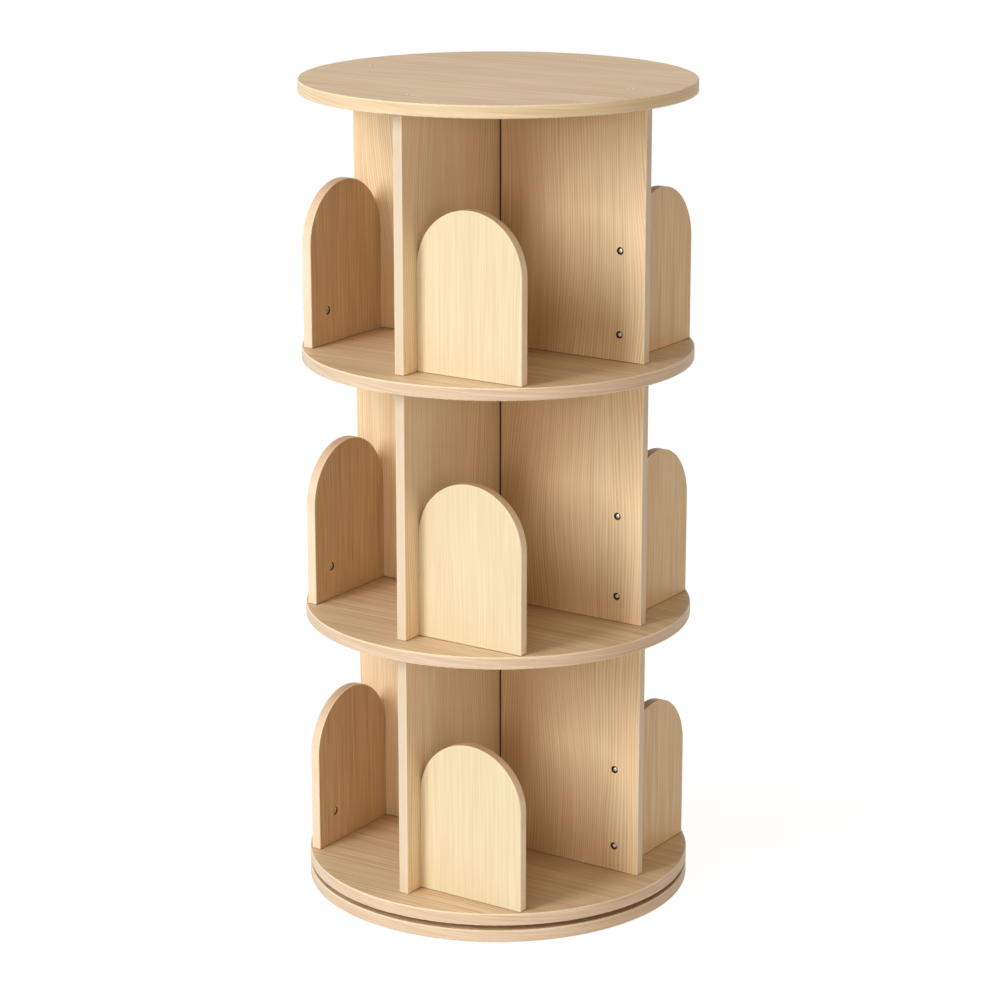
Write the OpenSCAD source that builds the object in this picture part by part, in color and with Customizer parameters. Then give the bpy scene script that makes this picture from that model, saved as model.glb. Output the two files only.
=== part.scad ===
// Revolving bookcase: three tiers of book compartments on a ball-bearing turntable.
// Each tier is two dividers lapped into a cross, with an arched book stop on every arm.
// Origin: centre of the floor print. +Z is up, +X and -Y are two of the divider arms.

/* [Discs] */
// Diameter of the base, the shelves and the top
disc_d = 460; // [400:5:540]
// Thickness of the shelves and the top
disc_t = 15; // [13:0.5:20]
// Thickness of the base disc
base_t = 15; // [13:0.5:20]
// Radius of the eased rim edges
rim_r = 1.5; // [0.5:0.1:3]

/* [Dividers] */
// Clear height of a tier, which is the height of its dividers
clear_h = 297; // [250:1:340]
// Thickness of the dividers
divider_t = 12; // [11:0.5:16]
// Distance from the end of a divider to the rim of the shelf
divider_inset = 28; // [15:1:45]
// Gap on each side of a divider in the slot of the other one
lap_gap = 2.2; // [0.2:0.1:2.5]
// Height above the shelf at which the two dividers of a tier rest on each other
lap_h = 105; // [80:1:150]
// Radius of the eased edges of dividers and arches
edge_r = 1; // [0.4:0.1:2]

/* [Arches] */
// Width of an arched book stop
arch_w = 140; // [110:1:150]
// Height of an arched book stop
arch_h = 190; // [160:1:230]
// Thickness of an arched book stop
arch_t = 12; // [11:0.5:16]
// Distance from the end of a divider to the outer face of its arch
arch_setback = 27; // [15:1:45]

/* [Arch screws] */
// Height of the lower screw above the shelf
arch_screw_low = 31; // [18:1:40]
// Distance from the top of the arch down to the upper screw
arch_screw_drop = 62; // [50:1:80]
// Diameter of the shank
arch_screw_d = 3; // [2.5:0.1:3.5]
// Diameter of the head
arch_head_d = 4.4; // [4:0.1:7]
// Height of the head
arch_head_h = 3.6; // [1.5:0.1:3.6]
// Diameter of the sunk hole around the head
arch_sink_d = 9; // [7.5:0.1:9.5]
// Depth of the sunk hole
arch_sink_depth = 4; // [3.6:0.1:6]
// Length of the thread inside the arch
arch_screw_bite = 30; // [20:1:40]

/* [Cam locks] */
// Diameter of a cam lock
cam_d = 10; // [8:0.5:12]
// Depth of a cam lock in the inner face of its arch
cam_depth = 9; // [7:0.5:10]
// How far the face of a cam lock bulges from its rim to its centre
cam_dome = 1.5; // [0.5:0.1:1.5]
// Height of a cam lock above the shelf
cam_z = 40; // [30:1:50]
// Distance from the free edge of the arch to its cam lock
cam_inset = 32; // [22:1:45]
// Diameter of the cam bolt
cam_bolt_d = 5; // [4:0.5:6]
// Length of the cam bolt's thread in the shelf
cam_bolt_bite = 10; // [8:0.5:11]

/* [Divider screws and dowels] */
// Distance from the axis to the screws that hold the dividers
divider_screw_r = 177; // [150:1:185]
// Diameter of the shank
divider_screw_d = 4; // [3:0.1:5]
// Diameter of the countersunk head
divider_head_d = 8; // [7:0.1:9]
// Length of the thread inside the divider
divider_screw_bite = 25; // [18:1:35]
// Distance from the axis to the dowels under the dividers
dowel_r = 95; // [50:1:120]
// Diameter of a dowel
dowel_d = 6; // [5:0.5:8]
// Length of a dowel inside the divider
dowel_up = 20; // [15:1:25]
// Length of a dowel inside the shelf
dowel_down = 9; // [7:0.5:11]

/* [Turntable] */
// Gap between the base disc and the bottom shelf
turn_gap = 5.5; // [4.5:0.1:8]
// Outer diameter of the ring bearing
bearing_d = 300; // [260:2:340]
// Width of each bearing ring
ring_w = 16; // [13:0.5:22]
// Depth of the pocket in the base that the bearing sits in
pocket_depth = 3; // [2:0.1:4]
// Height left free above the outer ring and below the inner ring
ring_gap = 1; // [0.6:0.1:1.5]
// Gap between the two rings
race_gap = 3; // [2.4:0.1:3.6]
// Diameter of a bearing ball
ball_d = 5; // [4.4:0.1:5.8]
// Number of bearing balls
ball_count = 24; // [12:1:36]
// Thickness of the ball cage
cage_t = 1.6; // [1.2:0.1:2]
// Height left free above and below the ball cage
cage_gap = 0.7; // [0.4:0.1:0.9]
// Diameter of the shank of a ring screw
ring_screw_d = 3.5; // [3:0.1:4.5]
// Diameter of the head of a ring screw
ring_head_d = 7; // [6:0.1:8]
// Length of the thread of a ring screw in the wood
ring_screw_bite = 9; // [6:0.5:10]
// Number of screws in each ring
ring_screw_count = 8; // [4:1:12]
// Diameter of the hole in the base through which the inner ring is screwed on
access_d = 14; // [10:0.5:15]

/* [Foot pads] */
// Diameter of a foot pad
pad_d = 30; // [20:1:40]
// Thickness of a foot pad
pad_t = 2; // [1:0.5:4]
// Distance from the rim of the base to the nearest edge of a foot pad
pad_inset = 15; // [8:1:40]
// Number of foot pads
pad_count = 8; // [4:1:12]

/* [Fits] */
// Clearance around screws, bolts, dowels and cams in their holes
hole_gap = 0.1; // [0.05:0.05:0.2]
// Clearance around the bearing balls in their races and in the cage
ball_gap = 0.15; // [0.1:0.05:0.25]

/* [Hidden] */
$fn = 96;
// How far a cutting shape passes the face that it cuts
over = 1;
tier_count = 3;
arm_count = 4;
disc_r = disc_d / 2;
divider_l = disc_d - 2 * divider_inset;
arch_out = divider_l / 2 - arch_setback;
arch_mid = arch_out - arch_t / 2;
arch_spring = arch_h - arch_w / 2;
arch_screw_heights = [arch_screw_low, arch_h - arch_screw_drop];
cam_y = divider_t / 2 + arch_w - cam_inset;
// Length of a screw's driver recess as a share of its head
recess_share = 0.6;
cam_recess_l = 3.2;
cam_recess_w = 0.7;
cam_recess_depth = 1;
cam_neck_d = cam_bolt_d - 2;
cam_neck_l = 2;
cam_bolt_head = cam_bolt_d / 2;
arch_head_dome = 0.6;
screw_recess_w = 1.1;
screw_recess_depth = 1.3;
dowel_chamfer = 0.8;
pocket_gap = 0.5;
ring_outer_r = bearing_d / 2;
race_outer_r = ring_outer_r - ring_w;
race_inner_r = race_outer_r - race_gap;
ring_inner_r = race_inner_r - ring_w;
race_r = (race_outer_r + race_inner_r) / 2;
ring_h = pocket_depth + turn_gap - ring_gap;
cage_h = pocket_depth + turn_gap - 2 * cage_gap;
outer_screw_r = race_outer_r + ring_w / 2;
inner_screw_r = ring_inner_r + ring_w / 2;
z_base_top = pad_t + base_t;
z_pocket = z_base_top - pocket_depth;
z_bottom = z_base_top + turn_gap;
z_race = (z_pocket + z_bottom) / 2;

// Underside of disc i, where disc 0 is the bottom shelf and the last one is the top
function disc_z(i) = z_bottom + i * (disc_t + clear_h);
// Floor of tier t
function tier_z(t) = disc_z(t) + disc_t;
// Direction of the arm that carries arch k: front, right, back, left
function arm_angle(k) = 360 / arm_count * (k - 1);

disc_names = ["bottom_shelf", "second_shelf", "third_shelf", "top_board"];
tier_names = ["lower", "middle", "upper"];
side_names = ["front", "right", "back", "left"];
function arch_name(t, k) = str(tier_names[t], "_arch_", side_names[k]);
function tier_node(t, piece) = str(tier_names[t], "_", piece);

tier_pieces = ["divider_left_right", "divider_front_back", "arch_screws", "cam_locks",
               "cam_bolts", "dowels", "divider_screws"];

disc_colour = "#dcc096";
divider_colour = "#d9ba8e";
arch_colour = "#ecd5aa";
steel_colour = "#b8bbbf";
cage_colour = "#d8d8d2";
dowel_colour = "#d8b98a";
pad_colour = "#3b3a38";

// Rectangle with eased corners, centred
module eased_rect(l, w, r) {
    square([l - 2 * r, w], center = true);
    square([l, w - 2 * r], center = true);
    for (x = [-1, 1], y = [-1, 1])
        translate([x * (l / 2 - r), y * (w / 2 - r)])
            circle(r);
}

// Half section of a disc of radius r and thickness t with its rim eased by e
module rim_section(r, t, e) {
    square([r - e, t]);
    translate([0, e])
        square([r, t - 2 * e]);
    for (y = [e, t - e])
        translate([r - e, y])
            circle(e);
}

module eased_disc(t) {
    rotate_extrude()
        rim_section(disc_r, t, rim_r);
}

// Board along X standing on z = 0, with all its edges eased by r
module eased_board(l, t, h, r) {
    intersection() {
        linear_extrude(h)
            eased_rect(l, t, r);
        translate([0, 0, h / 2])
            rotate([90, 0, 90])
                linear_extrude(l + 2 * over, center = true)
                    eased_rect(t, h, r);
        translate([0, 0, h / 2])
            rotate([90, 0, 0])
                linear_extrude(t + 2 * over, center = true)
                    eased_rect(l, h, r);
    }
}

// Copies its children to every arm
module on_arms() {
    for (k = [0 : arm_count - 1])
        rotate([0, 0, arm_angle(k)])
            children();
}

// Copies its children round a circle, half a step away from the arms
module on_circle(r, count) {
    for (i = [0 : count - 1])
        rotate([0, 0, 360 / count * (i + 0.5)])
            translate([r, 0, 0])
                children();
}

// Countersunk screw, head face at z = 0, shank downwards
module flat_screw(d, head_d, l, grow = 0) {
    head_h = (head_d - d) / 2;
    translate([0, 0, -l - grow])
        cylinder(d = d + 2 * grow, h = l + grow);
    translate([0, 0, -head_h])
        cylinder(d1 = d + 2 * grow, d2 = head_d + 2 * grow, h = head_h);
    if (grow > 0)
        cylinder(d = head_d + 2 * grow, h = over);
}

// Cross-shaped driver recess in a face at z = 0
module cross_recess(l, w, depth) {
    for (a = [0, 90])
        rotate([0, 0, a])
            translate([-l / 2, -w / 2, -depth])
                cube([l, w, depth + over]);
}

module flat_screw_with_recess(d, head_d, l) {
    difference() {
        flat_screw(d, head_d, l);
        cross_recess(recess_share * head_d, screw_recess_w, screw_recess_depth);
    }
}

module dowel_pin(grow = 0) {
    l = dowel_up + dowel_down;
    c = grow > 0 ? 0 : dowel_chamfer;
    translate([0, 0, -dowel_down]) {
        translate([0, 0, c - grow])
            cylinder(d = dowel_d + 2 * grow, h = l - 2 * c + 2 * grow);
        if (c > 0) {
            cylinder(d1 = dowel_d - 2 * c, d2 = dowel_d, h = c);
            translate([0, 0, l - c])
                cylinder(d1 = dowel_d, d2 = dowel_d - 2 * c, h = c);
        }
    }
}

// Cylinder on z = 0 whose lower face bulges by dome from its rim to its centre
module domed_cylinder(d, h, dome) {
    r = (pow(d / 2, 2) + pow(dome, 2)) / (2 * dome);
    intersection() {
        cylinder(d = d, h = h);
        translate([0, 0, r])
            sphere(r);
    }
}

// Arch screw along +Y on the right arm: its head is in the face that the arch isn't on
module arch_screw(z, grow = 0) {
    seat = -divider_t / 2 + arch_sink_depth;
    tip = divider_t / 2 + arch_screw_bite;
    translate([arch_mid, 0, z])
        rotate([-90, 0, 0]) {
            translate([0, 0, seat])
                cylinder(d = arch_screw_d + 2 * grow, h = tip - seat + grow);
            if (grow > 0)
                translate([0, 0, -divider_t / 2 - over])
                    cylinder(d = arch_sink_d, h = arch_sink_depth + over);
            else
                translate([0, 0, seat - arch_head_h])
                    domed_cylinder(arch_head_d, arch_head_h, arch_head_dome);
        }
}

// Bolt that stands in the shelf and is drawn tight by the cam
module cam_bolt(grow = 0) {
    neck_z = cam_z - cam_bolt_head - cam_neck_l;
    translate([arch_mid, cam_y, 0]) {
        if (grow > 0)
            translate([0, 0, -cam_bolt_bite - grow])
                cylinder(d = cam_bolt_d + 2 * grow, h = cam_bolt_bite + cam_z + cam_bolt_head + 2 * grow);
        else {
            translate([0, 0, -cam_bolt_bite])
                cylinder(d = cam_bolt_d, h = cam_bolt_bite + neck_z);
            translate([0, 0, neck_z])
                cylinder(d = cam_neck_d, h = cam_neck_l);
            translate([0, 0, cam_z - cam_bolt_head])
                cylinder(d = cam_bolt_d, h = 2 * cam_bolt_head);
        }
    }
}

// Cam barrel with a domed face, set into the inner face of the right arch
module cam_barrel(grow = 0) {
    barrel_d = cam_d - 2 * hole_gap;
    translate([arch_out - arch_t, cam_y, cam_z])
        rotate([0, 90, 0])
            if (grow > 0)
                translate([0, 0, -over])
                    cylinder(d = barrel_d + 2 * grow, h = over + cam_depth + grow);
            else
                domed_cylinder(barrel_d, cam_depth, cam_dome);
}

module base_disc() {
    color(disc_colour)
        difference() {
            translate([0, 0, pad_t])
                eased_disc(base_t);
            translate([0, 0, z_pocket])
                difference() {
                    cylinder(r = ring_outer_r + pocket_gap, h = pocket_depth + over);
                    translate([0, 0, -over])
                        cylinder(r = ring_inner_r - pocket_gap, h = pocket_depth + 3 * over);
                }
            on_circle(outer_screw_r, ring_screw_count)
                translate([0, 0, z_pocket - ring_screw_bite - hole_gap])
                    cylinder(d = ring_screw_d + 2 * hole_gap, h = ring_screw_bite + over);
            rotate([0, 0, 180 / ring_screw_count])
                translate([inner_screw_r, 0, pad_t - over])
                    cylinder(d = access_d, h = base_t + 2 * over);
        }
}

module foot_pads() {
    color(pad_colour)
        on_circle(disc_r - pad_inset - pad_d / 2, pad_count)
            cylinder(d = pad_d, h = pad_t);
}

// Ring between two radii with a ball race cut into it
module race_ring(r_in, r_out, z) {
    rotate_extrude($fn = 180)
        difference() {
            translate([r_in, z])
                square([r_out - r_in, ring_h]);
            translate([race_r, z_race])
                circle(ball_d / 2 + ball_gap);
        }
}

module bearing_outer_ring() {
    color(steel_colour)
        difference() {
            race_ring(race_outer_r, ring_outer_r, z_pocket);
            on_circle(outer_screw_r, ring_screw_count)
                translate([0, 0, z_pocket + ring_h])
                    flat_screw(ring_screw_d, ring_head_d, ring_h + over, hole_gap);
        }
}

module outer_ring_screws() {
    color(steel_colour)
        on_circle(outer_screw_r, ring_screw_count)
            translate([0, 0, z_pocket + ring_h])
                flat_screw_with_recess(ring_screw_d, ring_head_d, ring_h + ring_screw_bite);
}

module ball_cage() {
    color(cage_colour)
        difference() {
            translate([0, 0, z_race - cage_h / 2])
                difference() {
                    cylinder(r = race_r + cage_t / 2, h = cage_h, $fn = 180);
                    translate([0, 0, -over])
                        cylinder(r = race_r - cage_t / 2, h = cage_h + 2 * over, $fn = 180);
                }
            on_circle(race_r, ball_count)
                translate([-race_gap, 0, z_race])
                    rotate([0, 90, 0])
                        cylinder(d = ball_d + 2 * ball_gap, h = 2 * race_gap);
        }
}

module bearing_balls() {
    color(steel_colour)
        on_circle(race_r, ball_count)
            translate([0, 0, z_race])
                sphere(d = ball_d, $fn = 32);
}

module bearing_inner_ring() {
    color(steel_colour)
        difference() {
            race_ring(ring_inner_r, race_inner_r, z_bottom - ring_h);
            on_circle(inner_screw_r, ring_screw_count)
                translate([0, 0, z_bottom - ring_h])
                    mirror([0, 0, 1])
                        flat_screw(ring_screw_d, ring_head_d, ring_h + over, hole_gap);
        }
}

module inner_ring_screws() {
    color(steel_colour)
        on_circle(inner_screw_r, ring_screw_count)
            translate([0, 0, z_bottom - ring_h])
                mirror([0, 0, 1])
                    flat_screw_with_recess(ring_screw_d, ring_head_d, ring_h + ring_screw_bite);
}

// Disc i: what stands on it is drilled from above, what hangs below it is screwed through it
module shelf_disc(i) {
    is_bottom = i == 0;
    is_top = i == tier_count;
    color(disc_colour)
        translate([0, 0, disc_z(i)])
            difference() {
                eased_disc(disc_t);
                on_arms() {
                    translate([divider_screw_r, 0, is_bottom ? 0 : disc_t])
                        mirror([0, 0, is_bottom ? 1 : 0])
                            flat_screw(divider_screw_d, divider_head_d, disc_t + over, hole_gap);
                    if (!is_top)
                        translate([0, 0, disc_t]) {
                            translate([dowel_r, 0, 0])
                                dowel_pin(hole_gap);
                            cam_bolt(hole_gap);
                        }
                }
                if (is_bottom)
                    on_circle(inner_screw_r, ring_screw_count)
                        translate([0, 0, -over])
                            cylinder(d = ring_screw_d + 2 * hole_gap, h = ring_screw_bite + over + hole_gap);
            }
}

// Screws through the underside of the bottom shelf
module bottom_shelf_screws() {
    color(steel_colour)
        on_arms()
            translate([divider_screw_r, 0, disc_z(0)])
                mirror([0, 0, 1])
                    flat_screw_with_recess(divider_screw_d, divider_head_d, disc_t + divider_screw_bite);
}

// Divider of tier t with arms along +X and -X, slotted from above or from below for the other one
module divider(t, slot_above) {
    slot_w = divider_t + 2 * lap_gap;
    difference() {
        translate([0, 0, tier_z(t)])
            eased_board(divider_l, divider_t, clear_h, edge_r);
        translate([-slot_w / 2, -divider_t, tier_z(t) + (slot_above ? lap_h : -over)])
            cube([slot_w, 2 * divider_t, over + (slot_above ? clear_h - lap_h : lap_h)]);
        for (a = [0, 180])
            rotate([0, 0, a]) {
                translate([0, 0, tier_z(t)]) {
                    translate([dowel_r, 0, 0])
                        dowel_pin(hole_gap);
                    for (z = arch_screw_heights)
                        arch_screw(z, hole_gap);
                }
                translate([divider_screw_r, 0, tier_z(t) + clear_h - divider_screw_bite - hole_gap])
                    cylinder(d = divider_screw_d + 2 * hole_gap, h = divider_screw_bite + over);
                if (t == 0)
                    translate([divider_screw_r, 0, tier_z(t) - over])
                        cylinder(d = divider_screw_d + 2 * hole_gap, h = divider_screw_bite + over + hole_gap);
            }
    }
}

module divider_left_right(t) {
    color(divider_colour)
        divider(t, true);
}

module divider_front_back(t) {
    color(divider_colour)
        rotate([0, 0, 90])
            divider(t, false);
}

// Plate along X with a half-round top, edges eased all round
module arch_plate() {
    intersection() {
        eased_board(arch_w, arch_t, 2 * arch_spring, edge_r);
        translate([-arch_w / 2 - over, -arch_t / 2 - over, -over])
            cube([arch_w + 2 * over, arch_t + 2 * over, arch_spring + over]);
    }
    translate([0, arch_t / 2, arch_spring])
        rotate([90, 0, 0])
            rotate_extrude(angle = 180)
                rim_section(arch_w / 2, arch_t, edge_r);
}

// Arched book stop k of tier t
module arch(t, k) {
    color(arch_colour)
        rotate([0, 0, arm_angle(k)])
            translate([0, 0, tier_z(t)])
                difference() {
                    translate([arch_mid, divider_t / 2 + arch_w / 2, 0])
                        rotate([0, 0, 90])
                            arch_plate();
                    for (z = arch_screw_heights)
                        arch_screw(z, hole_gap);
                    cam_barrel(hole_gap);
                    cam_bolt(hole_gap);
                }
}

module arch_screws(t) {
    color(steel_colour)
        on_arms()
            translate([0, 0, tier_z(t)])
                for (z = arch_screw_heights)
                    arch_screw(z);
}

module cam_locks(t) {
    color(steel_colour)
        on_arms()
            translate([0, 0, tier_z(t)])
                difference() {
                    cam_barrel();
                    cam_bolt(hole_gap);
                    translate([arch_out - arch_t, cam_y, cam_z])
                        rotate([0, -90, 0])
                            rotate([0, 0, 45])
                                cross_recess(cam_recess_l, cam_recess_w, cam_recess_depth);
                }
}

module cam_bolts(t) {
    color(steel_colour)
        on_arms()
            translate([0, 0, tier_z(t)])
                cam_bolt();
}

module dowels(t) {
    color(dowel_colour)
        on_arms()
            translate([dowel_r, 0, tier_z(t)])
                dowel_pin();
}

// Screws down through the disc above tier t into its dividers
module divider_screws(t) {
    color(steel_colour)
        on_arms()
            translate([divider_screw_r, 0, disc_z(t + 1) + disc_t])
                flat_screw_with_recess(divider_screw_d, divider_head_d, disc_t + divider_screw_bite);
}

base_disc();
foot_pads();
bearing_outer_ring();
outer_ring_screws();
ball_cage();
bearing_balls();
bearing_inner_ring();
inner_ring_screws();
for (i = [0 : tier_count])
    shelf_disc(i);
bottom_shelf_screws();
for (t = [0 : tier_count - 1]) {
    divider_left_right(t);
    divider_front_back(t);
    arch_screws(t);
    cam_locks(t);
    cam_bolts(t);
    dowels(t);
    divider_screws(t);
    for (k = [0 : arm_count - 1])
        arch(t, k);
}
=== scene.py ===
"""Dresses a revolving bookcase: wood veneers, metal and plastic fittings, and a white studio."""

import math

import bmesh
import bpy
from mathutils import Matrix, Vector


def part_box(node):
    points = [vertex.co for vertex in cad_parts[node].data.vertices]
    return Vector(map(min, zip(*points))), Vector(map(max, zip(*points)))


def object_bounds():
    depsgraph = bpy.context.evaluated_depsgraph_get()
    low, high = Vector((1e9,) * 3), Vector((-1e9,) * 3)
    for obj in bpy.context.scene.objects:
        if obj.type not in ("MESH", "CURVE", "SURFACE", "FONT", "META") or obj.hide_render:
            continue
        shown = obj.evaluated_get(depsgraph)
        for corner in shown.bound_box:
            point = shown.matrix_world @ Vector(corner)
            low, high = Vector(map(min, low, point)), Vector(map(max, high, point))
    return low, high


bl_info = {
    "name": "Revolving bookcase",
    "version": (1, 0, 0),
    "blender": (4, 5, 0),
    "location": "3D View > Sidebar > Bookcase",
    "description": "Veneers, fittings and studio of a revolving bookcase",
    "category": "Object",
}

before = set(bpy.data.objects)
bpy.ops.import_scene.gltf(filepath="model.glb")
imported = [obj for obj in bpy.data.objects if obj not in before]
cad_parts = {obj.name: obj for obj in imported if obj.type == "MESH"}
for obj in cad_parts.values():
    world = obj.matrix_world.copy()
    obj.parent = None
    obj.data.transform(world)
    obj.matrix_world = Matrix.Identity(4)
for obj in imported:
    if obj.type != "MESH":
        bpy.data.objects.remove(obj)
CAD_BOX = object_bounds()
MM = 0.001

TIERS = ("lower", "middle", "upper")
# Sides that the arches face, with their turn from the right in degrees
SIDES = {"front": -90.0, "right": 0.0, "back": 90.0, "left": 180.0}
SHELVES = ("base_disc", "bottom_shelf", "second_shelf", "third_shelf")

# Soft boxes round the bookcase: azimuth and elevation in degrees, height in metres, watts, colour
SOFT_BOXES = {
    "key": (-17, 26, 3.2, 209, "#ffffff"),
    "front_fill": (20, 9, 1.65, 38, "#fffaf2"),
    "right_fill": (55, 9, 1.65, 34, "#ffe9cd"),
    "side_fill": (95, 9, 1.65, 25, "#ffe9cd"),
    "sky_left": (-60, 65, 1.65, 62, "#f7fbff"),
    "sky_front": (0, 65, 1.65, 29, "#ffffff"),
    "sky_right": (90, 65, 1.65, 42, "#fff2df"),
    "back_left": (225, 12, 1.65, 52, "#ffffff"),
    "back_right": (170, 12, 1.65, 16, "#fff6ea"),
}
# Soft boxes that light the far sides and give no highlights
WITHOUT_SHINE = ("back_left", "back_right")
# Width of every soft box and its distance from the middle of the bookcase, in metres
SOFT_BOX_WIDTH = 1.65
SOFT_BOX_DISTANCE = 5.5

# Floor of the studio: half its side in metres, the grey that lights the bookcase from below, and what shows,
# a white of its own and a grey that takes the shadow
FLOOR_HALF_SIDE = 2.5
FLOOR_BOUNCE = "#e7e7e7"
FLOOR_WHITE = 0.93
FLOOR_SHADOW = "#7c7c7c"
# Linear white, for light and for a tint that changes nothing
WHITE = (1, 1, 1)
# Width of the camera's sensor in millimetres
SENSOR_WIDTH = 36

# How each veneer is cut: millimetres that its grain wanders to the sides, and the shares of rings, fibres,
# streaks and bands in its tone
TOP_FIGURE = (12.0, (0.12, 0.35, 0.27, 0.26))
SHELF_FIGURE = (25.0, (0.16, 0.4, 0.34, 0.1))
DIVIDER_FIGURE = (70.0, (0.28, 0.4, 0.2, 0.12))
ARCH_FIGURE = (15.0, (0.1, 0.6, 0.1, 0.2))
# The shelves' figure is coarser than the other veneers' by this factor
SHELF_SPREAD = 1.7
# Lengths along the grain, in millimetres
FIBRE_LENGTH = 110
STREAK_LENGTH = 300
BAND_LENGTH = 260
# Sizes of the grain's wander across and along it, in millimetres
WANDER_WIDTH = 110
WANDER_LENGTH = 420
# Distance between the bands of a wave texture whose scale is 1
WAVE_PERIOD = math.pi / 10
# How much the rings change along the grain, as a share of how much they change across it
RING_PACE = 0.02
# Sums of the layers that count as late and as early wood
LATE_WOOD, EARLY_WOOD = 0.36, 0.64
# Millimetres of height to one sheet of disc veneer, and the first sheet of the boards and the step from tier
# to tier, so that no two pieces show the same figure
DISC_SHEET = 37
DIVIDER_SHEETS = (2.1, 7.3)
ARCH_SHEETS = (40.3, 5.7)
# Streaks of the rim bands: slope in radians, size in millimetres, and the noise that is late and early wood
RIM_LEAN = 0.07
RIM_STREAK = (110, 110, 2.2)
RIM_LATE, RIM_EARLY = 0.25, 0.75
# Streaks on the ends of the dividers: millimetres into the board, across the end and up it
END_STREAK = (50, 3, 160)
# Millimetres below the surface at which one finish begins to turn into another and at which it has turned
RIM_BAND = (1.6, 0.9)
# EASED_CORNER sets where the painted highlight on the boards' rounded corners fades in
EASED_CORNER = (1.2, 0.8)
FACE_VENEER = (0.5, 0.2)
EDGE_BAND = (1.0, 0.6)
# Upright part of a disc's normal at which the painted highlight on the rounded edge begins and is full, from
# its face and from its rim
EDGE_FROM_FACE = (0.97, 0.85)
EDGE_FROM_RIM = (0.1, 0.35)
# Painted contact shadow at the foot of a board: heights in millimetres between which it fades, and its
# strength
FOOT_SHADOW_HEIGHTS = (1.1, 0.7)
FOOT_SHADOW_STRENGTH = 0.5
# Satin lacquer, and how far the grain or grit of a surface moves its roughness
LACQUER_ROUGHNESS = 0.5
ROUGHNESS_RANGE = 0.08
# Depths in millimetres of the pores in the veneer, the grit on metal and the skin of mouldings
PORE_DEPTH = 0.2
GRIT_DEPTH = 0.05
SKIN_DEPTH = 0.1
# Shares of the colour in the dark parts of metal, mouldings and beech
METAL_DARK = 0.8
MOULDED_DARK = 0.85
FLECK_DARK = 0.7
# Flecks of the beech across and along a dowel, in millimetres
FLECK_SIZE = (0.8, 0.8, 5)
# Values between which a noise mostly lies
NOISE_LOW, NOISE_HIGH = 0.3, 0.7
# Radius of a countersunk screw's head in millimetres, and the shares of it between which painted shade fills
# the recess
SCREW_HEAD_RADIUS = 4.0
RECESS_EDGE = (0.55, 0.35)


def linear(hex_colour):
    """Turn an sRGB hex colour into the linear colour that Blender's sockets take."""
    channels = [int(hex_colour[i:i + 2], 16) / 255 for i in (1, 3, 5)]
    return tuple(c / 12.92 if c <= 0.04045 else ((c + 0.055) / 1.055) ** 2.4 for c in channels)


def node_box_mm(node):
    """Lowest and highest corner of a CAD node in millimetres."""
    return [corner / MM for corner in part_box(node)]


# Sizes read from the frame, in millimetres
DISC_RADIUS = node_box_mm("top_board")[1].x
TIER_FLOOR = node_box_mm("bottom_shelf")[1].z
TIER_PITCH = node_box_mm("second_shelf")[1].z - TIER_FLOOR
DIVIDER_HALF_LENGTH = node_box_mm("lower_divider_left_right")[1].x
DIVIDER_HALF_THICKNESS = node_box_mm("lower_divider_left_right")[1].y
ARCH_LOW, ARCH_HIGH = node_box_mm("lower_arch_right")
ARCH_HALF_WIDTH = (ARCH_HIGH.y - ARCH_LOW.y) / 2
ARCH_CENTRE = (ARCH_HIGH.y + ARCH_LOW.y) / 2
ARCH_MID = (ARCH_HIGH.x + ARCH_LOW.x) / 2
ARCH_HALF_THICKNESS = (ARCH_HIGH.x - ARCH_LOW.x) / 2
ARCH_SPRING = ARCH_HIGH.z - TIER_FLOOR - ARCH_HALF_WIDTH
SCREW_REACH = node_box_mm("upper_divider_screws")[1].x - SCREW_HEAD_RADIUS


def colour_property(name, description, hex_colour):
    """A colour that shows as a swatch, with an sRGB hex default."""
    return bpy.props.FloatVectorProperty(
        name=name, description=description, subtype="COLOR", size=3, min=0, max=1, default=linear(hex_colour))


def size_property(name, description, default):
    """A pattern size in millimetres."""
    return bpy.props.FloatProperty(name=name, description=description, default=default, min=0.1, max=2000)


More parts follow.
